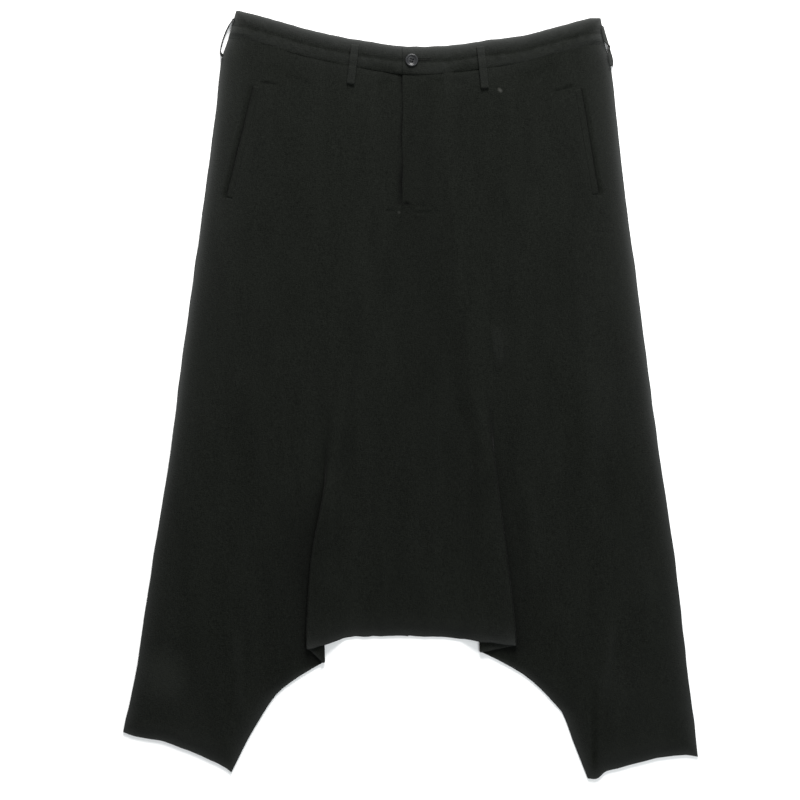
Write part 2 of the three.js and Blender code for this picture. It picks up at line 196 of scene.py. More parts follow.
# The waistband's upper face, below its upper edge and up from its underside: two padded channels
BAND_TOP = table(("below", "rise"), [
    (0, 0.9),
    (0.8, 1.7),
    (4, 2.3),
    (9, 2.6),
    (14, 2.3),
    (17.6, 1.85),
    (21, 2.2),
    (25.5, 2.5),
    (30, 2.1),
    (32.5, 1.6),
    (33, 1.2),
])
BAND_GROOVE = 17.6

# How deep the waist seam sinks along the waist
SEAM_DEPTH = table(("across", "depth"), [
    (-212, 0.04),
    (-160, 0.12),
    (-118, 0.3),
    (-62, 0.6),
    (-16, 1.0),
    (-4, 0.5),
    (14, 0.15),
    (42, 0.2),
    (54, 0.85),
    (76, 0.85),
    (96, 0.3),
    (150, 0.18),
    (226, 0.05),
])

# Front belt loops: middle of each end, across and down
FRONT_LOOPS = {"left": ((-65, 40), (-71, 87)), "right": ((81, 42), (86, 92))}

# Side belt loops stand out of the side seam: lean is how far the upper edge leans in over it
SIDE_LOOPS = {
    "left": table(("down", "out", "lean"), [
        (9, 208.4, 3.6),
        (15, 211.5, 1),
        (23, 215.3, 0.2),
        (33, 219, 0),
        (43, 221.9, 0.2),
        (49, 223.1, 1.2),
        (54, 221.5, 3.6),
    ]),
    "right": table(("down", "out", "lean"), [
        (18, 225.5, 3.2),
        (25, 227.6, 4.2),
        (32, 229.7, 4.8),
        (37.5, 231.3, 4.2),
        (42.5, 232.6, 0),
        (47.5, 234.1, 4.2),
        (53, 235.9, 5),
        (59, 237, 5),
        (65, 236.2, 3.2),
    ]),
}
SIDE_LOOP_LOW = 0.2
SIDE_LOOP_HIGH = 8.2
SIDE_LOOP_CLOTH = {"left": 1.0, "right": LOOP_CLOTH}

# Pocket slits: upper and lower end, across and down
POCKETS = {"left": ((-184, 89), (-215.5, 219)), "right": ((199, 92), (219.5, 215))}

BUTTON_AT = (1.0, 58.5)
BUTTON_DISH = 0.9
HOLES_OUT = 2.1
HOLE_RADIUS = 0.85
BUTTON_TURN = 0.5
THREAD_RADIUS = 0.2
STITCH_RADIUS = 0.17
STITCH_SHARE = 0.72
FLY = {"top": 72.0, "foot": 228.0, "edge": -10.0}

# Creases of the front: from and to (across, down), half width, height, minus for a trough, and how
# much paler the cloth is painted there: painted light, or painted shade where it is below zero
CREASES = table(("x0", "d0", "x1", "d1", "width", "height", "pale"), [
    (58, 350, 74, 500, 10, -0.6, -0.05),
    (-60, 385, -76, 525, 11, -0.9, -0.15),
    (146, 560, 150, 730, 13, 1.5, 0.03),
    (118, 520, 132, 700, 8, -0.9, -0.04),
    (212, 790, 214, 880, 3, -1.6, -0.15),
    (233, 720, 228, 800, 6, 1.1, 0.05),
    (202, 760, 204, 850, 6, 0.7, 0.0),
    (-201, 730, -198, 815, 6, 1.0, 0.04),
    (-148, 610, -140, 735, 12, 1.0, 0.02),
    (-170, 660, -172, 790, 10, -0.7, 0.0),
    (49, 190, 50, 280, 5, 0.7, 0.03),
    (-62, 110, -58, 300, 12, 0.6, 0.01),
    (84, 110, 66, 260, 14, -0.7, -0.01),
    (150, 120, 120, 330, 22, 0.9, 0.01),
    (-130, 130, -118, 340, 22, 0.8, 0.0),
    (205, 330, 216, 520, 20, 0.9, 0.02),
    (-215, 300, -230, 520, 20, 0.8, 0.0),
    (180, 430, 196, 640, 18, -0.8, -0.02),
    (-190, 470, -205, 680, 18, -0.7, -0.01),
    (270, 560, 284, 700, 12, 0.9, 0.01),
    (-262, 620, -280, 790, 14, 0.9, 0.01),
    (10, 560, 14, 700, 16, 0.6, 0.0),
    (92, 368, 103, 412, 10, 1.1, 0.05),
    (-40, 620, -46, 725, 10, -0.6, -0.01),
    (62, 640, 66, 728, 9, 0.6, 0.01),
    (-8, 226, -1, 226.5, 2.2, -1.2, -0.5),
    (6, 233, 24, 232.5, 2.2, 0.7, 0.08),
    (4, 239, 17, 241, 2.4, 0.5, 0.045),
    (-29, 234, -20, 234, 1.4, -0.7, -0.3),
    (-173.5, 84.5, -156, 86.5, 1.6, -1.2, -0.35),
    (168, 95, 190, 88.5, 1.6, -1.0, -0.25),
    (-170, 68, -120, 84, 7, -0.6, -0.03),
    (120, 78, 168, 66, 7, -0.6, -0.02),
    (-52, 92, -24, 84, 5, -0.5, -0.03),
    (24, 82, 66, 88, 5, -0.5, -0.02),
    (8, 110, 8, 560, 52, 0.0, -0.12),
    (1, 100, 1, 190, 6, 0.0, -0.045),
    (-118, 560, -140, 690, 26, 0.0, -0.12),
    (62, 500, 80, 660, 22, 0.0, -0.1),
    (-77, 408, -95, 530, 7, 0.5, 0.02),
    (278, 600, 284, 850, 60, 0.0, 0.018),
    (215, 420, 235, 520, 40, 0.0, 0.012),
    (-296, 790, -240, 870, 50, 0.0, 0.03),
    (225, 790, 290, 850, 50, 0.0, 0.03),
])


# Small maths

def ease(t):
    c = np.clip(t, 0.0, 1.0)
    return c * c * (3 - 2 * c)


def mix(a, b, t):
    return a + (b - a) * t


def bell(off, width):
    return np.exp(-((off / width) ** 2))


def rounding(distance, radius):
    """The height of a quarter round at a distance in from its edge."""
    return np.sqrt(np.clip(1 - (1 - np.clip(distance / radius, 0, 1)) ** 2, 0, 1))


def along(rows, key, column, at):
    """A smooth curve through one column of a table, read at an array of places."""
    k, v = rows[key], rows[column]
    slope = np.empty_like(v)
    slope[1:-1] = (v[2:] - v[:-2]) / (k[2:] - k[:-2])
    slope[0] = (v[1] - v[0]) / (k[1] - k[0])
    slope[-1] = (v[-1] - v[-2]) / (k[-1] - k[-2])
    at = np.clip(np.asarray(at, float), k[0], k[-1])
    i = np.clip(np.searchsorted(k, at, side="right") - 1, 0, len(k) - 2)
    width = k[i + 1] - k[i]
    t = (at - k[i]) / width
    t2, t3 = t * t, t * t * t
    start = (2 * t3 - 3 * t2 + 1) * v[i] + (t3 - 2 * t2 + t) * width * slope[i]
    return start + (3 * t2 - 2 * t3) * v[i + 1] + (t3 - t2) * width * slope[i + 1]


def waver(a, b, size, seed):
    """Smooth unevenness between about -1 and 1, with features of the given size in millimetres."""
    a, b = np.broadcast_arrays(np.asarray(a, float), np.asarray(b, float))
    flat = [noise.noise((x / size, y / size, seed)) for x, y in zip(a.ravel(), b.ravel())]
    return np.array(flat).reshape(a.shape) * 1.6


def places(across, down, up):
    """Points in space, from places in the pattern."""
    return np.stack([across, HALF_LENGTH - down, up], -1)


def waist_down(across):
    return along(WAIST, "across", "down", across)


def seam_across(down):
    return mix(FLY["edge"], -3.0, np.clip((down - FLY["foot"]) / 500, 0, 1))


def fly_wave(down):
    """The fly's edge isn't quite straight."""
    return waver(down, 5, 34, 2.9) * ease((down - 85) / 25) * ease((215 - down) / 25)


def fly_edge(side, down):
    """How far out from the middle line the fly's edge, and the crotch seam under it, lies."""
    return SIGN[side] * (seam_across(down) + fly_wave(down))


def level_below(below, across_at):
    """The level at a distance below the waist, on a line that moves across as it goes down."""
    down = below
    for _ in range(6):
        down = waist_down(across_at(down)) + below
    return down


# Cloth panels

def fold_at(side, down):
    """How the two layers run through the fold at each level."""
    rows = LEVELS[side]
    turn = np.clip(along(rows, "down", "turn", down), 0, 180)
    angle = np.maximum(0.02, np.radians(turn))
    tuck = along(rows, "down", "tuck", down)
    fold = along(rows, "down", "fold", down)
    radius = np.minimum(LOOSE_ARC / angle, 2 * FOLD_RADIUS / (1 - np.cos(angle)))
    start = fold - (radius + HALF_WALL) * np.sin(np.minimum(angle, math.pi / 2))
    back = radius * np.sin(angle) + tuck * np.cos(angle)
    nook = start + back - radius * (1 - np.sin(angle)) - HALF_WALL
    inner = np.where(angle > math.pi / 2, nook, start)
    return SimpleNamespace(
        angle=angle,
        tuck=tuck,
        radius=radius,
        start=start,
        fold=fold,
        side=along(rows, "down", "side", down),
        drop=2 * radius * (1 - np.cos(angle)) + tuck * np.sin(angle),
        open=1 - ease(turn / 70),
        climb_end=np.minimum(start, inner),
        leg_start=start + back + radius * np.sin(angle),
    )


def leg_inner(side, down):
    """The inner edge of a leg: the end of the fold, and the inseam below the corner."""
    corner = fold_at(side, np.minimum(down, CORNER[side])).leg_start
    return corner + along(INSEAM[side], "below", "out", np.maximum(0, down - CORNER[side]))


def from_inseam(side, down, out):
    """Distance out from the inseam, and far off above the leg's corner, where there is none."""
    return np.where(down > CORNER[side], out - leg_inner(side, down), 99)


def under_fly(side, down):
    """How far the left front runs on under the right one at the fly."""
    if side == "right":
        return 0.0
    return 9.0 * (1 - ease((down - FLY["foot"] + 4) / 5))


def place(side, zone, part, down):
    """Where stations lie at each level: out from the middle line, up, and how far they lean."""
    f = fold_at(side, down)
    zero = np.zeros(np.broadcast(part, down).shape)
    if zone == "middle":
        first = fly_edge(side, down) - under_fly(side, down)
        out = mix(first, f.start, part)
        climb = ease((out - f.climb_end + CLIMB) / CLIMB)
        return out, LAYER_LINE + f.drop * climb, zero, f
    if zone == "leg":
        return mix(leg_inner(side, down), f.side, part), LAYER_LINE + zero, zero, f
    top = LAYER_LINE + f.drop
    arc_out = f.radius * np.sin(f.angle)
    arc_drop = f.radius * (1 - np.cos(f.angle))
    if zone == "outer":
        lean = part * f.angle
        out = f.start + f.radius * np.sin(lean)
        return out, top - f.radius * (1 - np.cos(lean)), lean, f
    if zone == "return":
        run = part * f.tuck
        out = f.start + arc_out + run * np.cos(f.angle)
        return out, top - arc_drop - run * np.sin(f.angle), f.angle + zero, f
    lean = (1 - part) * f.angle
    out = f.leg_start - f.radius * np.sin(lean)
    return out, LAYER_LINE + f.radius * (1 - np.cos(lean)), lean, f


def air(side, zone, down, end, out, f):
    """The air between the layers lifts the front, most in the open and not at all at the edges."""
    rise = mix(AIR_AT_WAIST, AIR_BELOW, ease((down - 70) / 90))
    low_edge = ease((end - down) / 16)
    if zone == "middle":
        lap = FLY_LAP_RISE if side == "right" else 0.0
        lap = lap * ease((TAB_REACH + 14 - out) / 14) * ease((FLY["foot"] + 10 - down) / 16)
        return rise * low_edge * mix(ease((f.start - out) / 20), 1, f.open) + lap
    if zone == "leg":
        clear = mix(ease((out - f.fold - 3) / 24), 1, f.open)
        side_edge = ease((f.side - out) / 26)
        inseam = ease(from_inseam(side, down, out) / 24)
        return rise * clear * side_edge * inseam * low_edge
    return rise * f.open * low_edge


def beside_line(first, last, across, down):
    """The share of the way along a line, the distance beside it, and the line's length."""
    run = np.subtract(last, first)
    length = np.hypot(*run)
    run = run / length
    t = ((across - first[0]) * run[0] + (down - first[1]) * run[1]) / length
    return t, (across - first[0]) * run[1] - (down - first[1]) * run[0], length


def creases(across, down, column="height"):
    """Soft troughs and ridges at listed places, uneven along their run."""
    total = np.zeros(np.broadcast(across, down).shape)
    for i, (x0, d0, x1, d1, width, height, pale) in enumerate(zip(*CREASES.values())):
        t, off, length = beside_line((x0, d0), (x1, d1), across, down)
        bow = 0.35 * width * np.sin(2.4 * t + i) * np.minimum(1, length / 60)
        uneven = width * (1 + 0.25 * np.sin(5.1 * t + 2 * i))
        ends = ease((t + 0.18) / 0.36) * ease((1.18 - t) / 0.36)
        total += (height if column == "height" else pale) * ends * bell(off + bow, uneven)
    return total


def slit_distance(side, across, down):
    """Distance from a pocket slit, plus towards the side seam, and the share of the way along."""
    t, off, _ = beside_line(*POCKETS[side], across, down)
    return SIGN[side] * off + 0.5 * waver(down, SIGN[side] * 4, 26, 8.3), t


def relief(side, zone, across, down, out, end, f):
    """What the front does beyond its plain form: drape, creases and pocket slits."""
    calm = ease((end - down) / 12 + 0.15)
    if zone == "leg":
        edge = ease((f.side - out) / 14)
        beside = mix(ease((out - f.fold - 2) / 14), 1, f.open)
        inseam = ease(from_inseam(side, down, out) / 14)
        calm = calm * edge * beside * inseam
    elif zone == "middle":
        calm = calm * mix(ease((f.start - out) / 10), 1, f.open)
    drape = 0.6 * waver(across, down * 0.28, 40, 1.5) + 0.22 * waver(across, down * 0.3, 17, 4.2)
    gather = ease((150 - down) / 70) * 0.22 * waver(across, down * 0.22, 7.5, 7.7)
    form = calm * (creases(across, down) + drape + gather)
    if zone == "leg":
        off, t = slit_distance(side, across, down)
        run = ease((t + 0.01) / 0.03) * ease((1.01 - t) / 0.03)
        form = form - run * (1.5 * bell(off, 1.1) + 0.35 * bell(off, 7))
        form = form - 0.3 * run * bell(off + WELT_WIDTH, 0.9)
    return form


# Stations across a panel and rows down it, close together where an edge is rounded
EDGE_STEPS = np.array([0, 0.08, 0.25, 0.5, 0.85, 1.3, 2.2, 4.0])
ROUND = 1.3


def with_edges(parts, width, low=False, high=False):
    """Shares from 0 to 1 with close steps put in at an edge, for a stretch of that width."""
    close = EDGE_STEPS / width
    clear = close[-1] * 1.3
    pieces = [parts[(parts > (clear if low else -1)) & (parts < (1 - clear if high else 2))]]
    if low:
        pieces.insert(0, close)
    if high:
        pieces.append(1 - close[::-1])
    return np.concatenate(pieces)


def stretches(*stops):
    """Shares from 0 to 1, evenly spaced between stops, each given as its place and its steps."""
    parts = [np.linspace(a[0], b[0], b[1], endpoint=False) for a, b in zip(stops, stops[1:])]
    return np.concatenate([*parts, [1.0]])


def panel_columns(fine):
    """The zones of a panel with their stations, from the middle out to the side seam."""
    if fine:
        leg = stretches((0, 0), (0.73, 54), (0.93, 46), (1, 6))
    else:
        leg = np.linspace(0, 1, 30)
    n = 1.0 if fine else 0.4
    return [
        ("middle", with_edges(np.linspace(0, 1, int(46 * n)), 110, low=True)[:-1]),
        ("outer", np.linspace(0, 1, int(12 * n) + 2)[:-1]),
        ("return", np.linspace(0, 1, int(5 * n) + 2)[:-1]),
        ("inner", np.linspace(0, 1, int(10 * n) + 2)[:-1]),
        ("leg", with_edges(leg, 185, low=True, high=True)),
    ]


def body_rows(fine):
    """Rows down a panel, close at the waist, the pocket mouths and the foot of the fly."""
    if fine:
        rows = stretches((0, 0), (0.07, 36), (0.225, 26), (0.262, 24), (1, 100))
    else:
        rows = np.linspace(0, 1, 60)
    return with_edges(rows, 690, low=fine, high=True)


def panel(side, is_front, fine):
    """Points of the near and far face of a panel's wall, and the tone of painted light and shade at
    each.
    """
    sign = SIGN[side]
    body = body_rows(fine)
    leg = with_edges(np.linspace(0, 1, 40 if fine else 18), 128, high=True)[1:]
    fold_end = CROTCH[side][-1]
    near, far, tones = [], [], []
    for zone, part in panel_columns(fine):
        part = part[None, :]
        top = level_below(BAND_HEIGHT - 1.2, lambda down: sign * place(side, zone, part, down)[0])
        end = {
            "middle": along(CROTCH, "share", side, part),
            "outer": fold_end + 0 * part,
            "return": mix(fold_end, CORNER[side], part),
            "inner": CORNER[side] + 0 * part,
            "leg": CORNER[side] + 0 * part,
        }[zone]
        hem = along(HEM, "share", side, part)
        uneven = 0.7 * waver(part * 110, sign * 3, 9, 2.2) if zone == "middle" else 0.0
        down = mix(top, end + uneven, body[:, None])
        if zone == "leg":
            ragged = hem + 0.5 * waver(part * 120, sign * 9, 14, 6.1)
            down = np.concatenate([down, mix(end, ragged, leg[:, None])])
        out, up, lean, f = place(side, zone, part, down)
        low = ragged if zone == "leg" else end + uneven
        out = out + np.where(zone == "leg", part**8 * 0.5 * waver(down, sign * 5, 24, 3.3), 0)
        lift, wall = face_offsets(side, zone, down, low, out, f, is_front)
        if is_front:
            lift = lift - 1.6 * (1 - rounding(down - top, 5)) * seam_depth(sign * out)
        direction = np.stack([sign * np.sin(lean), np.zeros(lean.shape), np.cos(lean)], -1)
        base = places(sign * out, down, up)
        near.append(base + direction * lift[..., None])
        far.append(base + direction * (lift + wall)[..., None])
        shade = tone(side, zone, down, low, out, lean, f)
        # Painted shade along the waist seam, and painted light on the panel just below the band
        waist = 0.15 * bell(down - top, 1.8) * seam_depth(sign * out)
        below_band = 0.07 * np.exp(-(down - top) / 14) * ease((170 - out) / 60)
        tones.append(shade - waist + below_band)
    return near, far, tones


def seam_depth(across):
    return along(SEAM_DEPTH, "across", "depth", across) * (1 + 0.4 * waver(across, 3, 14, 1.1))


def face_offsets(side, zone, down, end, out, f, is_front):
    """The near face's distance from the layer line, and the wall from it to the far face."""
    if zone == "leg":
        seam = rounding(f.side - out, ROUND) * rounding(from_inseam(side, down, out), ROUND)
        hem = rounding(end - down, 0.6)
    else:
        seam = rounding(end - down, ROUND) + np.zeros(out.shape)
        hem = np.ones(out.shape)
    lift = SEAM / 2 * seam
    wall = CLOTH * seam
    if is_front:
        lift = lift + air(side, zone, down, end, out, f)
        form = relief(side, zone, SIGN[side] * out, down, out, end, f)
        lift = lift + form * ease((end - down) / 6)
        lift = np.maximum(lift, SEAM / 2 * seam)
    if zone == "middle":
        first = fly_edge(side, down)
        at_fly = down < FLY["foot"]
        if is_front and side == "right":
            roll = rounding(out - first, 1.2)
            lift = lift + np.where(at_fly, (1 - roll) * -0.5, 0)
            wall = wall * np.where(at_fly, 0.35 + 0.65 * roll, 1)
        if is_front and side == "left":
            sunk = mix(1.0, 0.45, ease((down - 120) / 80)) * ease((FLY["foot"] + 4 - down) / 8)
            sunk = sunk * bell(out - first, 3.5)
            lift = np.maximum(lift - sunk, SEAM / 2)
        dip = 0.12 * bell(out - first, 0.8)
        wall = wall - np.where(at_fly, 0, dip)
    trim = wall * (1 - hem) / 2
    sign = 1.0 if is_front else -1.0
    return sign * (lift + trim), sign * (wall - 2 * trim)


# Painted light along the lower edges and the inseam, fading inwards over the given width
LOW_EDGE_PALE = 0.42
LOW_EDGE_WIDTH = 9.0


def tone(side, zone, down, end, out, lean, f):
    """Painted light and shade: painted light at the outline, a painted highlight on the crest of
    the fold, and painted shade in the hollows beside the fold, at the fly and at the pocket slits.
    """
    gap = np.maximum(end - down, 0)
    pale = LOW_EDGE_PALE * np.exp(-gap / LOW_EDGE_WIDTH)
    if zone == "leg":
        pale = np.maximum(pale, edge_pale(side, f.side - out, down))
        inner = np.maximum(from_inseam(side, down, out), 0)
        pale = np.maximum(pale, LOW_EDGE_PALE * np.exp(-inner / LOW_EDGE_WIDTH))
    turned = ease((np.degrees(f.angle) - 30) / 120)
    tight = 1.0 if side == "right" else mix(0.25, 1, turned)
    grown = ease((down - 380) / 330)
    if zone in ("middle", "leg"):
        # Painted highlights and painted shade along the listed creases
        pale = pale + creases(SIGN[side] * out, down, "pale")
    if zone == "middle":
        from_fold = f.fold - out
        # A painted highlight on the crest of the fold
        crest = 0.02 * bell(from_fold, 13) * ease((np.degrees(f.angle) - 8) / 60)
        pale = pale + crest * (1 + 0.35 * waver(down, SIGN[side] * 2, 38, 6.6))
        dark = fly_hollow(side, down, out)
    elif zone == "leg":
        # Painted shadow on the leg beside the fold, broader and deeper lower down
        from_fold = np.maximum(out - f.fold, 0)
        width = mix(7, 13 if side == "right" else 16, grown)
        deep = mix(0.05, 0.5, grown)
        dark = turned * deep * np.exp(-from_fold / width)
        dark = dark * (1 - 0.85 * ease((down - CORNER[side] + 10) / 20))
        dark = dark + slit_hollow(side, SIGN[side] * out, down)
    elif zone == "outer":
        # A little painted light on the fold's outer face, and painted shade where it is steep
        pale = pale + 0.02 * turned
        steep = ease((lean - 0.35) / 0.8)
        dark = steep * mix(0.5, 0.65, grown) * tight * (1 if side == "right" else 0.5)
    else:
        # Painted shade on the turned-back layers inside the fold
        dark = 0.35 * ease((lean - 0.2) / 0.7) * mix(0.8, 1, grown) * tight
        dark = dark * (1 - 0.45 * ease((down - 700) / 45))
    return np.clip(pale - np.clip(dark, 0, 0.9), -1, 1) + np.zeros(out.shape)


def edge_pale(side, beside, down):
    """Light that the pale surface throws on the rounded side edge, most at the hips.

    Three parts fade inwards over 3.5, 10 and 30 mm, and the first and last also down the leg.
    """
    beside = np.maximum(beside, 0)
    near = mix(0.9, 1.05, ease((down - 100) / 80))
    near = mix(near, 0.32, ease((down - 400) / 300))
    wide = 0.30 if side == "right" else 0.26
    broad = mix(0.11, 0.0, ease((down - 300) / 330))
    return near * np.exp(-beside / 3.5) + wide * np.exp(-beside / 10) + broad * np.exp(-beside / 30)


def fly_hollow(side, down, out):
    """The shaded line on the left front beside the fly's edge, wider at its foot."""
    if side == "right":
        return 0.0
    first = fly_edge(side, down)
    upper = ease((FLY["foot"] + 1 - down) / 4)
    uneven = 1 + 0.7 * waver(down, 8, 30, 5.7)
    width = mix(2.6, 5.0, ease((down - 130) / 80))
    return 0.42 * upper * uneven * bell(out - first, width)


def slit_hollow(side, across, down):
    """The shaded line of a pocket slit, fainter towards its ends and on the right."""
    off, t = slit_distance(side, across, down)
    run = ease((t + 0.01) / 0.02) * ease((1.01 - t) / 0.02)
    line = 0.8 * bell(off, 1.0) + 0.25 * bell(off - 2.2, 2.5)
    broken = 0.5 if side == "right" else 0.25
    fading = 0.45 + 0.5 * np.sin(np.pi * np.clip(t, 0, 1)) + broken * waver(down, 4, 19, 3.1)
    return run * line * fading * (0.75 if side == "right" else 1.0)


# Mesh making

def make_object(name, points, faces, material, attribute=None):
    """A smooth mesh object from points in millimetres, riding on the garment."""
    mesh = bpy.data.meshes.new(name)
    mesh.from_pydata((np.asarray(points) * MM).tolist(), [], faces)
    mesh.materials.append(material)
    mesh.polygons.foreach_set("use_smooth", [True] * len(mesh.polygons))
    if attribute is not None:
        layer = mesh.attributes.new("tone", "FLOAT", "POINT")
        layer.data.foreach_set("value", np.asarray(attribute, np.float32))
    mesh.update()
    turn_faces_out(mesh)
    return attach(add_object(name, mesh), "root")


def add_object(name, data):
    obj = bpy.data.objects.new(name, data)
    bpy.context.scene.collection.objects.link(obj)
    return obj


def dress(node, points, faces, material, tones):
    """The cloth that shows in place of one of the part's own pieces."""
    piece = make_object(f"{node}_cloth", points, faces, material, tones)
    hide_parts(node)
    return piece


def turn_faces_out(mesh):
    """Turns a closed mesh's faces so that they point out."""
    count = len(mesh.vertices)
    points = np.empty(count * 3)
    mesh.vertices.foreach_get("co", points)
    points = points.reshape(-1, 3)
    mesh.calc_loop_triangles()
    corners = np.empty(len(mesh.loop_triangles) * 3, np.int32)
    mesh.loop_triangles.foreach_get("vertices", corners)
    a, b, c = (points[corners.reshape(-1, 3)[:, k]] for k in range(3))
    if (a * np.cross(b, c)).sum() < 0:
        mesh.flip_normals()


def grid_wall(near_columns, far_columns, tones):
    """A closed wall between two sets of columns, which may be longer on one side."""
    points, values, near_index, far_index = [], [], [], []
    for blocks, index in ((near_columns, near_index), (far_columns, far_index)):
        for block, shades in zip(blocks, tones):
            rows, columns = block.shape[:2]
            first = len(points)
            points.extend(block.reshape(-1, 3))
            values.extend(shades.ravel())
            ids = first + np.arange(rows * columns).reshape(rows, columns)
            index.extend(ids[:, k] for k in range(columns))
    faces = []
    count = len(near_index)
    depth = [len(column) for column in near_index]
    for j in range(count - 1):
        a, b = near_index[j], near_index[j + 1]
        c, d = far_index[j], far_index[j + 1]
        rows = min(len(a), len(b))
        near_faces = np.stack([a[:rows - 1], a[1:rows], b[1:rows], b[:rows - 1]], -1)
        far_faces = np.stack([c[:rows - 1], d[:rows - 1], d[1:rows], c[1:rows]], -1)
        faces.extend(near_faces.tolist())
        faces.extend(far_faces.tolist())
        faces.append([int(a[0]), int(b[0]), int(d[0]), int(c[0])])
        last = rows - 1
        faces.append([int(b[last]), int(a[last]), int(c[last]), int(d[last])])
    for j, flip in ((0, False), (count - 1, True)):
        faces.extend(side_wall(near_index[j], far_index[j], 0, depth[j], flip))
    for j in range(1, count):
        if depth[j] > depth[j - 1]:
            faces.extend(side_wall(near_index[j], far_index[j], depth[j - 1] - 1, depth[j], False))
    return points, faces, values


def joined(bodies):
    """Several bodies as one set of points and faces."""
    points, faces = [], []
    for more, shape in bodies:
        first = len(points)
        points.extend(more)
        faces.extend([[v + first for v in face] for face in shape])
    return points, faces


def side_wall(near, far, first, last, flip):
    """The narrow faces down one end of a wall."""
    found = []
    for i in range(first, last - 1):
        quad = [int(near[i]), int(far[i]), int(far[i + 1]), int(near[i + 1])]
        found.append(quad[::-1] if flip else quad)
    return found


def loft(rings):
    """A closed body through rings with as many points each, closed at both ends."""
    rings = np.asarray(rings, float)
    count, size = rings.shape[:2]
    points = [*rings.reshape(-1, 3)]
    loops = [[(i * size + k, i * size + (k + 1) % size) for k in range(size)] for i in range(count)]
    faces = [[a, b, b + size, a + size] for loop in loops[:-1] for a, b in loop]
    for i, flip in ((0, True), (-1, False)):
        centre = len(points)
        points.append(rings[i].mean(0))
        faces.extend([centre, b, a] if flip else [centre, a, b] for a, b in loops[i])
    return points, faces


# What shows of the upper face, for what lies on it

def band_base(side, across):
    if side == "left":
        rise = ease((across + 34) / 22) * (across < FLY["edge"] - 0.1)
        return BAND_BACK + SEAM + 1.2 * rise
    return BAND_BACK + SEAM + 1.8 * ease((TAB_REACH + 24 - across) / 20)


def band_rise(side, across, below):
    """The waistband's upper face over its underside, puckered by the stitching in its grooves."""
    rise = along(BAND_TOP, "below", "rise", below)
    from_groove = np.minimum(np.abs(below - BAND_GROOVE), np.abs(below - BAND_HEIGHT))
    pucker = bell(from_groove - 4, 3.2)
    slant = across + 0.5 * (below - BAND_GROOVE)
    ripple = waver(slant, 0.25 * below, 5.2, 9.1) + 0.6 * waver(slant, 0.3 * below, 2.6, 2.8)
    body = 0.3 * waver(across, below, 24, 5.5)
    return rise + ease(below / 2) * (0.3 * pucker * ripple + body * ease((BAND_HEIGHT - below) / 3))


def band_top(side, across, below):
    scale = np.where((side == "left") & (across > FLY["edge"] - 0.1), TAB_SCALE, 1.0)
    return band_base(side, across) + band_rise(side, across, below) * scale


def top_at(across, down):
    """The height of the upper face at places on the hips."""
    across, down = np.broadcast_arrays(np.asarray(across, float), np.asarray(down, float))
    below = down - waist_down(across)
    up = np.zeros(across.shape)
    for side in SIDES:
        mine = (across < seam_across(down)) == (side == "left")
        out = np.abs(across)
        f = fold_at(side, down)
        end = LENGTH + 0 * out
        cloth = np.zeros(out.shape)
        for zone, here in (("middle", out < f.start), ("leg", out >= f.start)):
            lift = air(side, zone, down, end, out, f)
            lift = lift + relief(side, zone, across, down, out, end, f)
            cloth = np.where(here, LAYER_LINE + HALF_WALL + lift, cloth)
        band = band_top(side, across, np.clip(below, 0.8, BAND_HEIGHT))
        up = np.where(mine, np.where(below < BAND_HEIGHT - 0.6, np.maximum(band, 0), cloth), up)
    return up


# Materials

class Wire:
    """A shader socket that takes part in expressions."""

    def __init__(self, finish, socket):
        self.finish = finish
        self.socket = socket

    def _math(self, operation, other):
        return self.finish.node("ShaderNodeMath", {"operation": operation}, {0: self, 1: other})

    def __add__(self, other):
        return self._math("ADD", other)

    def __sub__(self, other):
        return self._math("SUBTRACT", other)

    def __mul__(self, other):
        return self._math("MULTIPLY", other)


class Finish:
    """A material whose nodes are made by one method."""

    def __init__(self, name, **shader_values):
        self.material = bpy.data.materials.new(name)
        self.material.use_nodes = True
        self.tree = self.material.node_tree
        self.shader = self.tree.nodes["Principled BSDF"]
        for socket, value in shader_values.items():
            self.shader.inputs[socket.replace("_", " ")].default_value = value

    def node(self, kind, settings=None, inputs=None, output=0):
        """One node of any kind; output is a name or number of the socket that is read."""
        made = self.tree.nodes.new(kind)
        for name, value in (settings or {}).items():
            setattr(made, name, value)
        for name, value in (inputs or {}).items():
            self.feed(made.inputs[name], value)
        return Wire(self, made.outputs[output])

    def feed(self, socket, value):
        if isinstance(value, Wire):
            self.tree.links.new(value.socket, socket)
        else:
            socket.default_value = value

    def shade(self, socket, value):
        self.feed(self.shader.inputs[socket], value)

    def place(self):
        return self.node("ShaderNodeTexCoord", output="Object")

    def noise(self, vector, scale, detail=2.0, roughness=0.5):
        values = {"Vector": vector, "Scale": scale, "Detail": detail, "Roughness": roughness}
        return self.node("ShaderNodeTexNoise", inputs=values, output="Fac")

    def stretch(self, vector, by):
        return self.node("ShaderNodeVectorMath", {"operation": "MULTIPLY"}, {0: vector, 1: by})

    def blend(self, factor, first, second):
        inputs = {"Factor": factor, 6: first, 7: second}
        return self.node("ShaderNodeMix", {"data_type": "RGBA"}, inputs, output=2)

    def spot(self, vector, across, down, radius, softness):
        """1 inside a round spot of the pattern, falling to 0 past its radius."""
        centre = (across * MM, (HALF_LENGTH - down) * MM, 0)
        flat = self.stretch(vector, (1, 1, 0))
        away = self.node("ShaderNodeVectorMath", {"operation": "DISTANCE"}, {0: flat, 1: centre}, 1)
        limits = {"From Min": (radius + softness) * MM, "From Max": (radius - softness) * MM}
        return self.node("ShaderNodeMapRange", {"clamp": True}, {"Value": away, **limits})


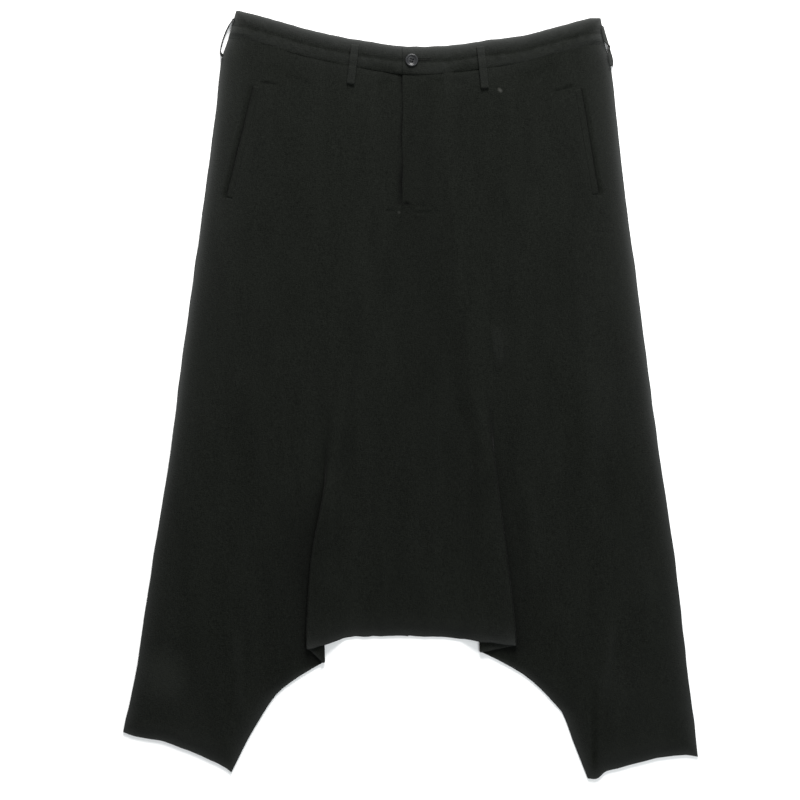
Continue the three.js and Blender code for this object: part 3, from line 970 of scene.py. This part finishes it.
def cloth_finish(name):
    """Matt black crepe: fine crossed yarns, a pebbled face and a little mottling."""
    finish = Finish(
        name, Roughness=0.9, Specular_IOR_Level=0.06, Sheen_Weight=0.02, Sheen_Roughness=0.4
    )
    place = finish.place()
    warp = finish.noise(finish.stretch(place, (1150, 190, 900)), 1.0, 2.0, 0.6)
    weft = finish.noise(finish.stretch(place, (260, 1250, 900)), 1.0, 2.0, 0.6)
    pebble = finish.noise(place, 760, 2.5, 0.65)
    cloud = finish.noise(finish.stretch(place, (40, 11, 20)), 1.0, 3.0, 0.55)
    height = warp * 0.8 + weft * 0.6 + pebble * 1.1
    relief_values = {"Strength": 0.9, "Distance": 0.0006, "Height": height}
    finish.shade("Normal", finish.node("ShaderNodeBump", inputs=relief_values))
    grain = (pebble - 0.5) * 1.5 + (warp - 0.5) * 1.1 + (weft - 0.5) * 0.7
    grain = grain + (cloud - 0.5) * 0.45 + 0.5
    colour = finish.blend(grain, (0.0017, 0.0021, 0.0015, 1), (0.0084, 0.0096, 0.0078, 1))
    # Painted light and shade from the tone attribute: paler above zero, darker below it
    tone = finish.node("ShaderNodeAttribute", {"attribute_name": "tone"}, output="Fac")
    colour = finish.blend(tone * 0.75, colour, (0.050, 0.052, 0.051, 1))
    colour = finish.blend(tone * -1.0, colour, (0.0006, 0.0006, 0.0006, 1))
    finish.shade("Base Color", colour)
    return finish


def add_marks(finish, marks):
    """Pale marks on the cloth: specks of lint and a pale round patch on the left leg."""
    place = finish.place()
    socket = finish.shader.inputs["Base Color"]
    colour = Wire(finish, socket.links[0].from_socket)
    for across, down, radius, softness, strength, shade in marks:
        spot = finish.spot(place, across, down, radius, softness)
        colour = finish.blend(spot * strength, colour, shade)
    finish.shade("Base Color", colour)


# Across, down, radius, softness of the rim, strength and colour
MARKS = [
    (103.2, 92.2, 1.7, 1.0, 0.25, (0.085, 0.085, 0.078, 1)),
    (104.9, 93.9, 1.7, 1.0, 0.27, (0.085, 0.085, 0.078, 1)),
    (-13.8, 235.8, 1.5, 0.8, 0.1, (0.12, 0.12, 0.11, 1)),
    (-291, 771, 22, 14, 0.24, (0.022, 0.024, 0.021, 1)),
    (-284, 796, 14, 14, 0.1, (0.022, 0.024, 0.021, 1)),
]


def thread_finish():
    finish = Finish("black_thread", Roughness=0.7, Specular_IOR_Level=0.12)
    ply = finish.noise(finish.stretch(finish.place(), (2600, 2600, 2600)), 1.0, 1.0)
    colour = finish.blend(ply, (0.003, 0.0033, 0.0029, 1), (0.011, 0.012, 0.0105, 1))
    finish.shade("Base Color", colour)
    return finish.material


def button_finish():
    finish = Finish("polished_button", Specular_IOR_Level=0.3)
    place = finish.place()
    swirl = finish.noise(finish.stretch(place, (300, 900, 300)), 1.0, 3.0, 0.6)
    colour = finish.blend(swirl, (0.003, 0.0032, 0.0036, 1), (0.028, 0.029, 0.031, 1))
    finish.shade("Base Color", colour)
    finish.shade("Roughness", swirl * 0.15 + 0.24)
    return finish.material


front_finish = cloth_finish("black_crepe")
add_marks(front_finish, MARKS)
CREPE = front_finish.material
BAND_CREPE = cloth_finish("black_crepe_band").material
THREAD = thread_finish()
BUTTON = button_finish()


# Panels of the trousers

for side in SIDES:
    for layer, is_front in (("front", True), ("back", False)):
        near, far, tones = panel(side, is_front, is_front)
        points, faces, values = grid_wall(near, far, tones)
        shell = dress(f"{layer}_{side}", points, faces, CREPE, values)


# Waistband

def band_side(side, down):
    return along(LEVELS[side], "down", "side", down)


def band_section():
    """Points round the band's section: below its upper edge, and 0 on the underside or 1 on top."""
    last = BAND_HEIGHT - np.array([0.8, 0.4, 0.15, 0])
    top = np.concatenate([[0, 0.15, 0.4, 0.8], np.arange(1.6, BAND_HEIGHT - 1, 0.75), last])
    bottom = np.linspace(BAND_HEIGHT - 0.4, 0.4, 12)
    return np.concatenate([top, bottom]), np.concatenate([np.ones(len(top)), np.zeros(len(bottom))])


def band_columns(side):
    edge = FLY["edge"]
    if side == "left":
        tab = [(out, 0.0) for out in np.linspace(-TAB_REACH, -edge - 0.3, 12)]
        return tab + [(-edge + 0.3, part) for part in np.linspace(0, 1, 150)]
    lap = [(edge + step, 0.0) for step in (0, 0.15, 0.4, 0.8, 1.4, *np.arange(2.5, 54, 1.5))]
    return lap + [(edge + 55, part) for part in np.linspace(0, 1, 130)]


def front_band(side):
    """One half of the front waistband: two padded channels with a rounded end at the side seam."""
    sign = SIGN[side]
    below, is_top = band_section()
    rings = []
    for out, part in band_columns(side):
        def across(level, out=out, part=part):
            return sign * mix(out, band_side(side, level) - SEAM, part)
        ripple = 0.35 * waver(across(20.0), 3.0, 11, 8.8)
        down = level_below(below, across) + ripple * ease((20 - below) / 20)
        x = across(down)
        to_side = band_side(side, down) - sign * x
        close = mix(0.25, 1, rounding(to_side, 6))
        close = close * (1 - 0.7 * ease((46 - to_side) / 46) * ease((below - 25) / 7))
        rise = (band_top(side, x, below) - band_base(side, x)) * close
        if side == "right":
            rise = rise * mix(0.8, 1, rounding(x - FLY["edge"], 1.4))
        up = band_base(side, x) + np.where(is_top > 0, rise, 0.0)
        rings.append(places(x, down, up))
    return loft(rings)


def back_band():
    """The back waistband, flat on the surface, its channels pressed nearly flat."""
    top = np.linspace(0.3, BAND_HEIGHT - 0.3, 16)
    below = np.concatenate([[0.0], top, [BAND_HEIGHT], top[::-1]])
    groove = 0.35 * bell(below - BAND_GROOVE, 1.2)
    up = np.concatenate([[0.9], BAND_BACK + 0 * top, [0.9], 0 * top]) + groove
    up = np.where(up > BAND_BACK, 2 * BAND_BACK - up, up)
    rings = []
    for part in np.linspace(0, 1, 120):
        def across(level, part=part):
            return mix(SEAM - band_side("left", level), band_side("right", level) - SEAM, part)
        down = level_below(below, across)
        rings.append(places(across(down), down, up))
    return loft(rings)


def band_tone(side, points):
    """Painted light on the band's upper edge, end and channels; painted shade in its grooves and
    seam.
    """
    across, down = np.asarray(points)[:, 0], HALF_LENGTH - np.asarray(points)[:, 1]
    below = down - waist_down(across)
    beside = np.maximum(band_side(side, down) - SIGN[side] * across, 0)
    top = 0.75 * np.exp(-np.maximum(below - 1.2, 0) / 3.5) + 0.26 * np.exp(-below / 12)
    pale = np.maximum(top, edge_pale(side, beside, down) * (1.0 if side == "right" else 0.85))
    # Painted highlights along the crests of the two padded channels
    channel_highlight = 0.05 * bell(below - 9, 4) + 0.06 * bell(below - 21.5, 3.5)
    pale = pale + channel_highlight * (1 + 0.9 * waver(across, below, 7, 3.9))
    pale = pale + 0.1 * bell(below - 28, 4) * (1.1 - seam_depth(across))
    groove = 0.06 * bell(below - BAND_GROOVE, 1.6) * (1 + 0.8 * waver(across, 1, 9, 4.4))
    seam = 0.12 * bell(below - BAND_HEIGHT, 2) * seam_depth(across)
    return np.clip(pale - groove - seam, -1, 1)


for side in SIDES:
    points, faces = front_band(side)
    band = dress(f"waistband_{side}", points, faces, BAND_CREPE, band_tone(side, points))

points, faces = back_band()
band = dress("waistband_back", points, faces, BAND_CREPE, np.zeros(len(points)))


# Strips that lie on the front

def strip_rings(path, lifts, width, thick, level=False):
    """Rings of a soft-edged strip along a path, lifted off what is below, each level if asked."""
    path = np.asarray(path, float)
    run = np.gradient(path, axis=0)
    run = run / np.hypot(run[:, 0], run[:, 1])[:, None]
    half = width / 2
    inner = [-0.88, -0.6, -0.2, 0.2, 0.6, 0.88]
    across = np.array([-0.97, -1, -0.97, *inner, 0.97, 1, 0.97, 0.5, -0.5])
    height = np.array([0.12, 0.5, 0.85, 0.98, 1.0, 0.94, 0.94, 1.0, 0.98, 0.85, 0.5, 0.12, 0, 0])
    rings = []
    for i, (x, down) in enumerate(path):
        px = x + run[i, 1] * across * half
        pd = down - run[i, 0] * across * half
        seat = top_at(px, pd).max() if level else top_at(px, pd)
        up = seat + lifts[i] + height * thick[i]
        rings.append(places(px, pd, up))
    return rings


def line(first, last, count):
    return np.linspace(np.array(first, float), np.array(last, float), count)


def front_loop(side):
    """A front belt loop: sewn down at both ends, a belt's width free between them."""
    t = np.linspace(0, 1, 46)
    path = line(*FRONT_LOOPS[side], len(t))
    path[:, 0] += 0.5 * np.sin(2.2 * t)
    lifts = 0.3 + 1.9 * np.sin(np.pi * t) ** 0.6
    foot, head = bell(t - 0.95, 0.05), bell(t, 0.05)
    thick = LOOP_CLOTH * (1 + 0.45 * foot + 0.3 * head)
    thick = thick * mix(0.35, 1, rounding(np.minimum(t, 1 - t), 0.02))
    return strip_rings(path, lifts, LOOP_WIDTH, thick, level=True)


def side_loop(side):
    """A side belt loop, bowed out from the side seam and seen on edge."""
    rows = SIDE_LOOPS[side]
    down = np.linspace(rows["down"][0], rows["down"][-1], 46)
    out = along(rows, "down", "out", down)
    lean = along(rows, "down", "lean", down)
    slope = np.gradient(out, down)
    size = np.hypot(1, slope)
    layer = np.array([0, 0.06, 0.06, 0, 0.25, 0.75, 1.0, 0.94, 0.94, 1.0, 0.75, 0.25])
    layer_up = np.array([0.08, 0.3, 0.7, 0.92, 1, 1, 0.92, 0.7, 0.3, 0.08, 0, 0])
    rings = []
    for i in range(len(down)):
        step = layer * SIDE_LOOP_CLOTH[side]
        x = SIGN[side] * (out[i] - step / size[i] - lean[i] * layer_up)
        level = down[i] + step * slope[i] / size[i]
        rings.append(places(x, level, mix(SIDE_LOOP_LOW, SIDE_LOOP_HIGH, layer_up)))
    return rings


def welt(side):
    """The turned edge of a pocket mouth, on the middle's side of the slit."""
    path = line(*POCKETS[side], 70)
    path[:, 0] += -SIGN[side] * (WELT_WIDTH / 2 + 0.3)
    t = np.linspace(0, 1, len(path))
    thick = WELT_CLOTH * mix(0.25, 1, rounding(np.minimum(t, 1 - t), 0.015))
    return strip_rings(path, np.full(len(path), -0.25), WELT_WIDTH, thick)


# Each kind of strip: its maker, the cut of cloth it is folded from, that cut's area, and its tone
# of painted light along its length and at its upper end
STRIPS = {
    "belt_loop_front": (front_loop, (0.018, 0.052), 0.0006, 0.09, 0.3),
    "belt_loop_side": (side_loop, (0.018, 0.058), 0.0006, 0.5, 0.5),
    "pocket_welt": (welt, (0.016, 0.134), 0.0011, 0.03, 0.03),
}
for side in SIDES:
    for node, (make, flat, area, plain_tone, upper_tone) in STRIPS.items():
        rings = make(side)
        points, faces = loft(rings)
        shades = mix(plain_tone, upper_tone, np.exp(-np.linspace(0, 5, len(rings))))
        shades = np.append(np.repeat(shades, len(rings[0])), [plain_tone, plain_tone])
        piece = dress(f"{node}_{side}", points, faces, BAND_CREPE, shades)


def underlap():
    """The fly underlap, a plain strip behind the fly."""
    low = LAYER_LINE + SEAM
    rings = []
    for down in np.linspace(FLY["top"] + 4, FLY["foot"], 24):
        x = FLY["edge"] + np.array([-6, -6.3, -6, 34, 34.3, 34])
        up = low + 0.6 * CLOTH * np.array([0, 0.5, 1, 1, 0.5, 0])
        rings.append(places(x, np.full(6, down), up))
    return loft(rings)


points, faces = underlap()
strip = dress("fly_underlap", points, faces, BAND_CREPE, np.zeros(len(points)))


# Sewing

def stitch_mesh(path, pitch=2.7, lift=0.02):
    """Short raised stitches along a path of places on the front."""
    path = np.asarray(path, float)
    steps = np.hypot(*np.diff(path, axis=0).T)
    run = np.concatenate([[0], np.cumsum(steps)])
    starts = np.arange(0.3 * pitch, run[-1] - pitch * STITCH_SHARE, pitch)
    stitches = []
    around = np.linspace(0, 2 * math.pi, 6, endpoint=False)
    for start in starts:
        at = start + pitch * STITCH_SHARE * np.array([0, 0.12, 0.5, 0.88, 1.0])
        x, down = np.interp(at, run, path[:, 0]), np.interp(at, run, path[:, 1])
        size = STITCH_RADIUS * np.array([0.35, 0.85, 1, 0.85, 0.35])
        dip = np.array([-0.2, 0.0, 0.08, 0.0, -0.2])
        up = top_at(x, down) + lift + dip
        beside = np.array([down[-1] - down[0], x[-1] - x[0]])
        beside = beside / max(np.hypot(*beside), 1e-6)
        rings = []
        for i in range(5):
            wide, high = np.cos(around) * size[i], np.sin(around) * size[i]
            rings.append(places(x[i] + beside[0] * wide, down[i] - beside[1] * wide, up[i] + high))
        stitches.append(loft(rings))
    return joined(stitches)


def sew(name, bodies):
    """Makes one piece of thread from its strands or stitches."""
    piece = make_object(name, *joined(bodies), THREAD)


def offset_line(first, last, off):
    """A line moved sideways by off, to its right as it runs."""
    path = line(first, last, 40)
    run = (path[-1] - path[0]) / np.hypot(*(path[-1] - path[0]))
    return path + off * np.array([-run[1], run[0]])


def channel_stitches():
    paths = []
    for first, last in ((-207, -74), (-57, -11.5), (-8.5, 72), (92, 224)):
        across = np.linspace(first, last, 80)
        paths.append(np.stack([across, waist_down(across) + BAND_GROOVE], -1))
    return paths


sew("waistband_stitches", [stitch_mesh(path, pitch=2.9) for path in channel_stitches()])
sew("pocket_stitches", [
    stitch_mesh(offset_line(*POCKETS[side], SIGN[side] * (WELT_WIDTH - 1.2)), lift=0.1)
    for side in SIDES
])


def finish_button():
    """The four-hole button: a dished disc with a rolled rim, and its sewing thread."""
    x0, d0 = BUTTON_AT
    seat = float(max(top_at(x0, d0 + step) for step in (-4, 0, 4))) + 0.25
    profile = [
        (3.6, 0.95), (4.3, 1.15), (4.9, 1.6), (5.5, 2.1), (6.1, 2.42), (6.7, 2.42),
        (7.2, 2.15), (7.48, 1.65), (7.4, 1.0), (6.9, 0.45), (6.0, 0.15), (4.0, 0.0),
    ]
    around = np.linspace(0, 2 * math.pi, 72, endpoint=False)
    points, faces = loft([
        [(radius * math.cos(a), radius * math.sin(a), up) for a in around] for radius, up in profile
    ])
    points[-2] = np.array([0, 0, BUTTON_DISH])
    mesh = bpy.data.meshes.new("button_disc")
    mesh.from_pydata((np.asarray(points) * MM).tolist(), [], faces)
    disc = add_object("button_disc", mesh)
    cutters = []
    for hole in range(4):
        turn = BUTTON_TURN + hole * math.pi / 2
        spot = (HOLES_OUT * math.cos(turn) * MM, HOLES_OUT * math.sin(turn) * MM, 0)
        bpy.ops.mesh.primitive_cylinder_add(
            vertices=20, radius=HOLE_RADIUS * MM, depth=8 * MM, location=spot
        )
        cutters.append(bpy.context.object)
    for cutter in cutters:
        cut = disc.modifiers.new("hole", "BOOLEAN")
        cut.object = cutter
        cut.solver = "EXACT"
    cut_disc = disc.evaluated_get(bpy.context.evaluated_depsgraph_get())
    shaped = bpy.data.meshes.new_from_object(cut_disc)
    for unused in (*cutters, disc):
        bpy.data.objects.remove(unused)
    shaped.transform(Matrix.Translation(Vector((x0, HALF_LENGTH - d0, seat)) * MM))
    shaped.name = "button_polished"
    shaped.materials.clear()
    shaped.materials.append(BUTTON)
    shaped.shade_smooth()
    shaped.set_sharp_from_angle(angle=math.radians(38))
    turn_faces_out(shaped)
    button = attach(add_object("button_polished", shaped), "root")
    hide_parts("button")
    sew_button(x0, d0, seat)


def rope(points, around=7):
    """Rings of a thread along points, for a loft."""
    points = np.asarray(points, float)
    run = np.gradient(points, axis=0)
    run = run / np.linalg.norm(run, axis=1)[:, None]
    rings = []
    angles = np.linspace(0, 2 * math.pi, around, endpoint=False)
    for p, d in zip(points, run):
        side = np.cross(d, (0.0, 0.0, 1.0))
        side = side / max(np.linalg.norm(side), 1e-6)
        round_p = np.cos(angles)[:, None] * side + np.sin(angles)[:, None] * np.cross(side, d)
        rings.append(p + THREAD_RADIUS * round_p)
    return rings


def sew_button(x0, d0, seat):
    """Two bars of thread through the four holes, three strands each."""
    strands = []
    corners = [BUTTON_TURN + k * math.pi / 2 for k in range(4)]
    spots = [(HOLES_OUT * math.cos(a), HOLES_OUT * math.sin(a)) for a in corners]
    for first_spot, last_spot in ((spots[0], spots[1]), (spots[3], spots[2])):
        run = np.subtract(last_spot, first_spot)
        beside = np.array([-run[1], run[0]]) / np.hypot(*run)
        for strand in (-0.28, 0.0, 0.28):
            t = np.linspace(0, 1, 11)
            at = np.array(first_spot) + t[:, None] * run + strand * beside
            up = seat + 0.1 + 1.15 * np.sin(np.pi * t) ** 0.45
            path = places(x0 + at[:, 0], d0 - at[:, 1], up)
            strands.append(loft(rope(path)))
    sew("button_thread", strands)


def buttonhole():
    """A worked buttonhole: close bars of thread round a slit that runs from under the button."""
    x0, d0 = BUTTON_AT[0] + 4.5, BUTTON_AT[1] - 1.2
    length = 17.0
    paths = []
    for row in (-1.0, 1.0):
        for x in np.arange(x0, x0 + length, 0.55):
            paths.append([(x, d0 + row - 0.75), (x + 0.2, d0 + row + 0.75)])
    end = x0 + length
    paths.extend([(end, d0 + y), (end + 1.2, d0 + y * 1.2)] for y in np.arange(-1.6, 1.7, 0.5))
    bars = []
    for first_end, last_end in paths:
        ends = line(first_end, last_end, 5)
        up = top_at(ends[:, 0], ends[:, 1]) + np.array([-0.05, 0.2, 0.26, 0.2, -0.05])
        path = places(ends[:, 0], ends[:, 1], up)
        bars.append(loft(rope(path, 5)))
    sew("buttonhole_stitches", bars)


finish_button()
buttonhole()


# Floor, light and camera

def stage():
    """A wide pale floor, just under the surface that the trousers lie on."""
    size, gap = 12.0, 0.0004
    bpy.ops.mesh.primitive_plane_add(size=size, location=(0, 0, -gap))
    floor = bpy.context.object
    floor.name = "pale_floor"
    finish = Finish("pale_floor", Roughness=0.9, Specular_IOR_Level=0.2)
    finish.shade("Base Color", (0.92, 0.92, 0.92, 1))
    floor.data.materials.append(finish.material)


def lights():
    """A softbox beyond the waist, a cooler one overhead, and even light from the room."""
    world = bpy.data.worlds.new("soft_room")
    world.use_nodes = True
    backdrop = world.node_tree.nodes["Background"]
    backdrop.inputs["Color"].default_value = (1, 1, 1, 1)
    backdrop.inputs["Strength"].default_value = 0.36
    bpy.context.scene.world = world
    for name, spot, size, power, colour in (
        ("waist_softbox", (0.1, 1.75, 1.05), 1.0, 76, (1.0, 0.99, 0.975)),
        ("overhead_softbox", (0.8, -0.4, 2.3), 1.6, 32, (0.93, 0.98, 1.0)),
    ):
        data = bpy.data.lights.new(name, "AREA")
        data.shape = "DISK"
        data.size = size
        data.energy = power
        data.color = colour
        lamp = add_object(name, data)
        lamp.location = spot
        aim = Vector((0.02, 0.05, 0)) - Vector(spot)
        lamp.rotation_euler = aim.to_track_quat("-Z", "Y").to_euler()


def camera():
    """Straight down over the middle of the trousers, with a frame 934 mm wide."""
    middle_across, middle_down, frame_width = -12.6, 454.5, 933.6
    height, sensor = 2.6, 36.0
    data = bpy.data.cameras.new("overhead")
    data.sensor_width = sensor
    data.lens = sensor * (height - 0.003) / (frame_width * MM)
    eye = add_object("overhead", data)
    eye.location = (middle_across * MM, (HALF_LENGTH - middle_down) * MM, height)
    bpy.context.scene.camera = eye


stage()
lights()
camera()
bpy.context.scene.view_settings.view_transform = "Standard"
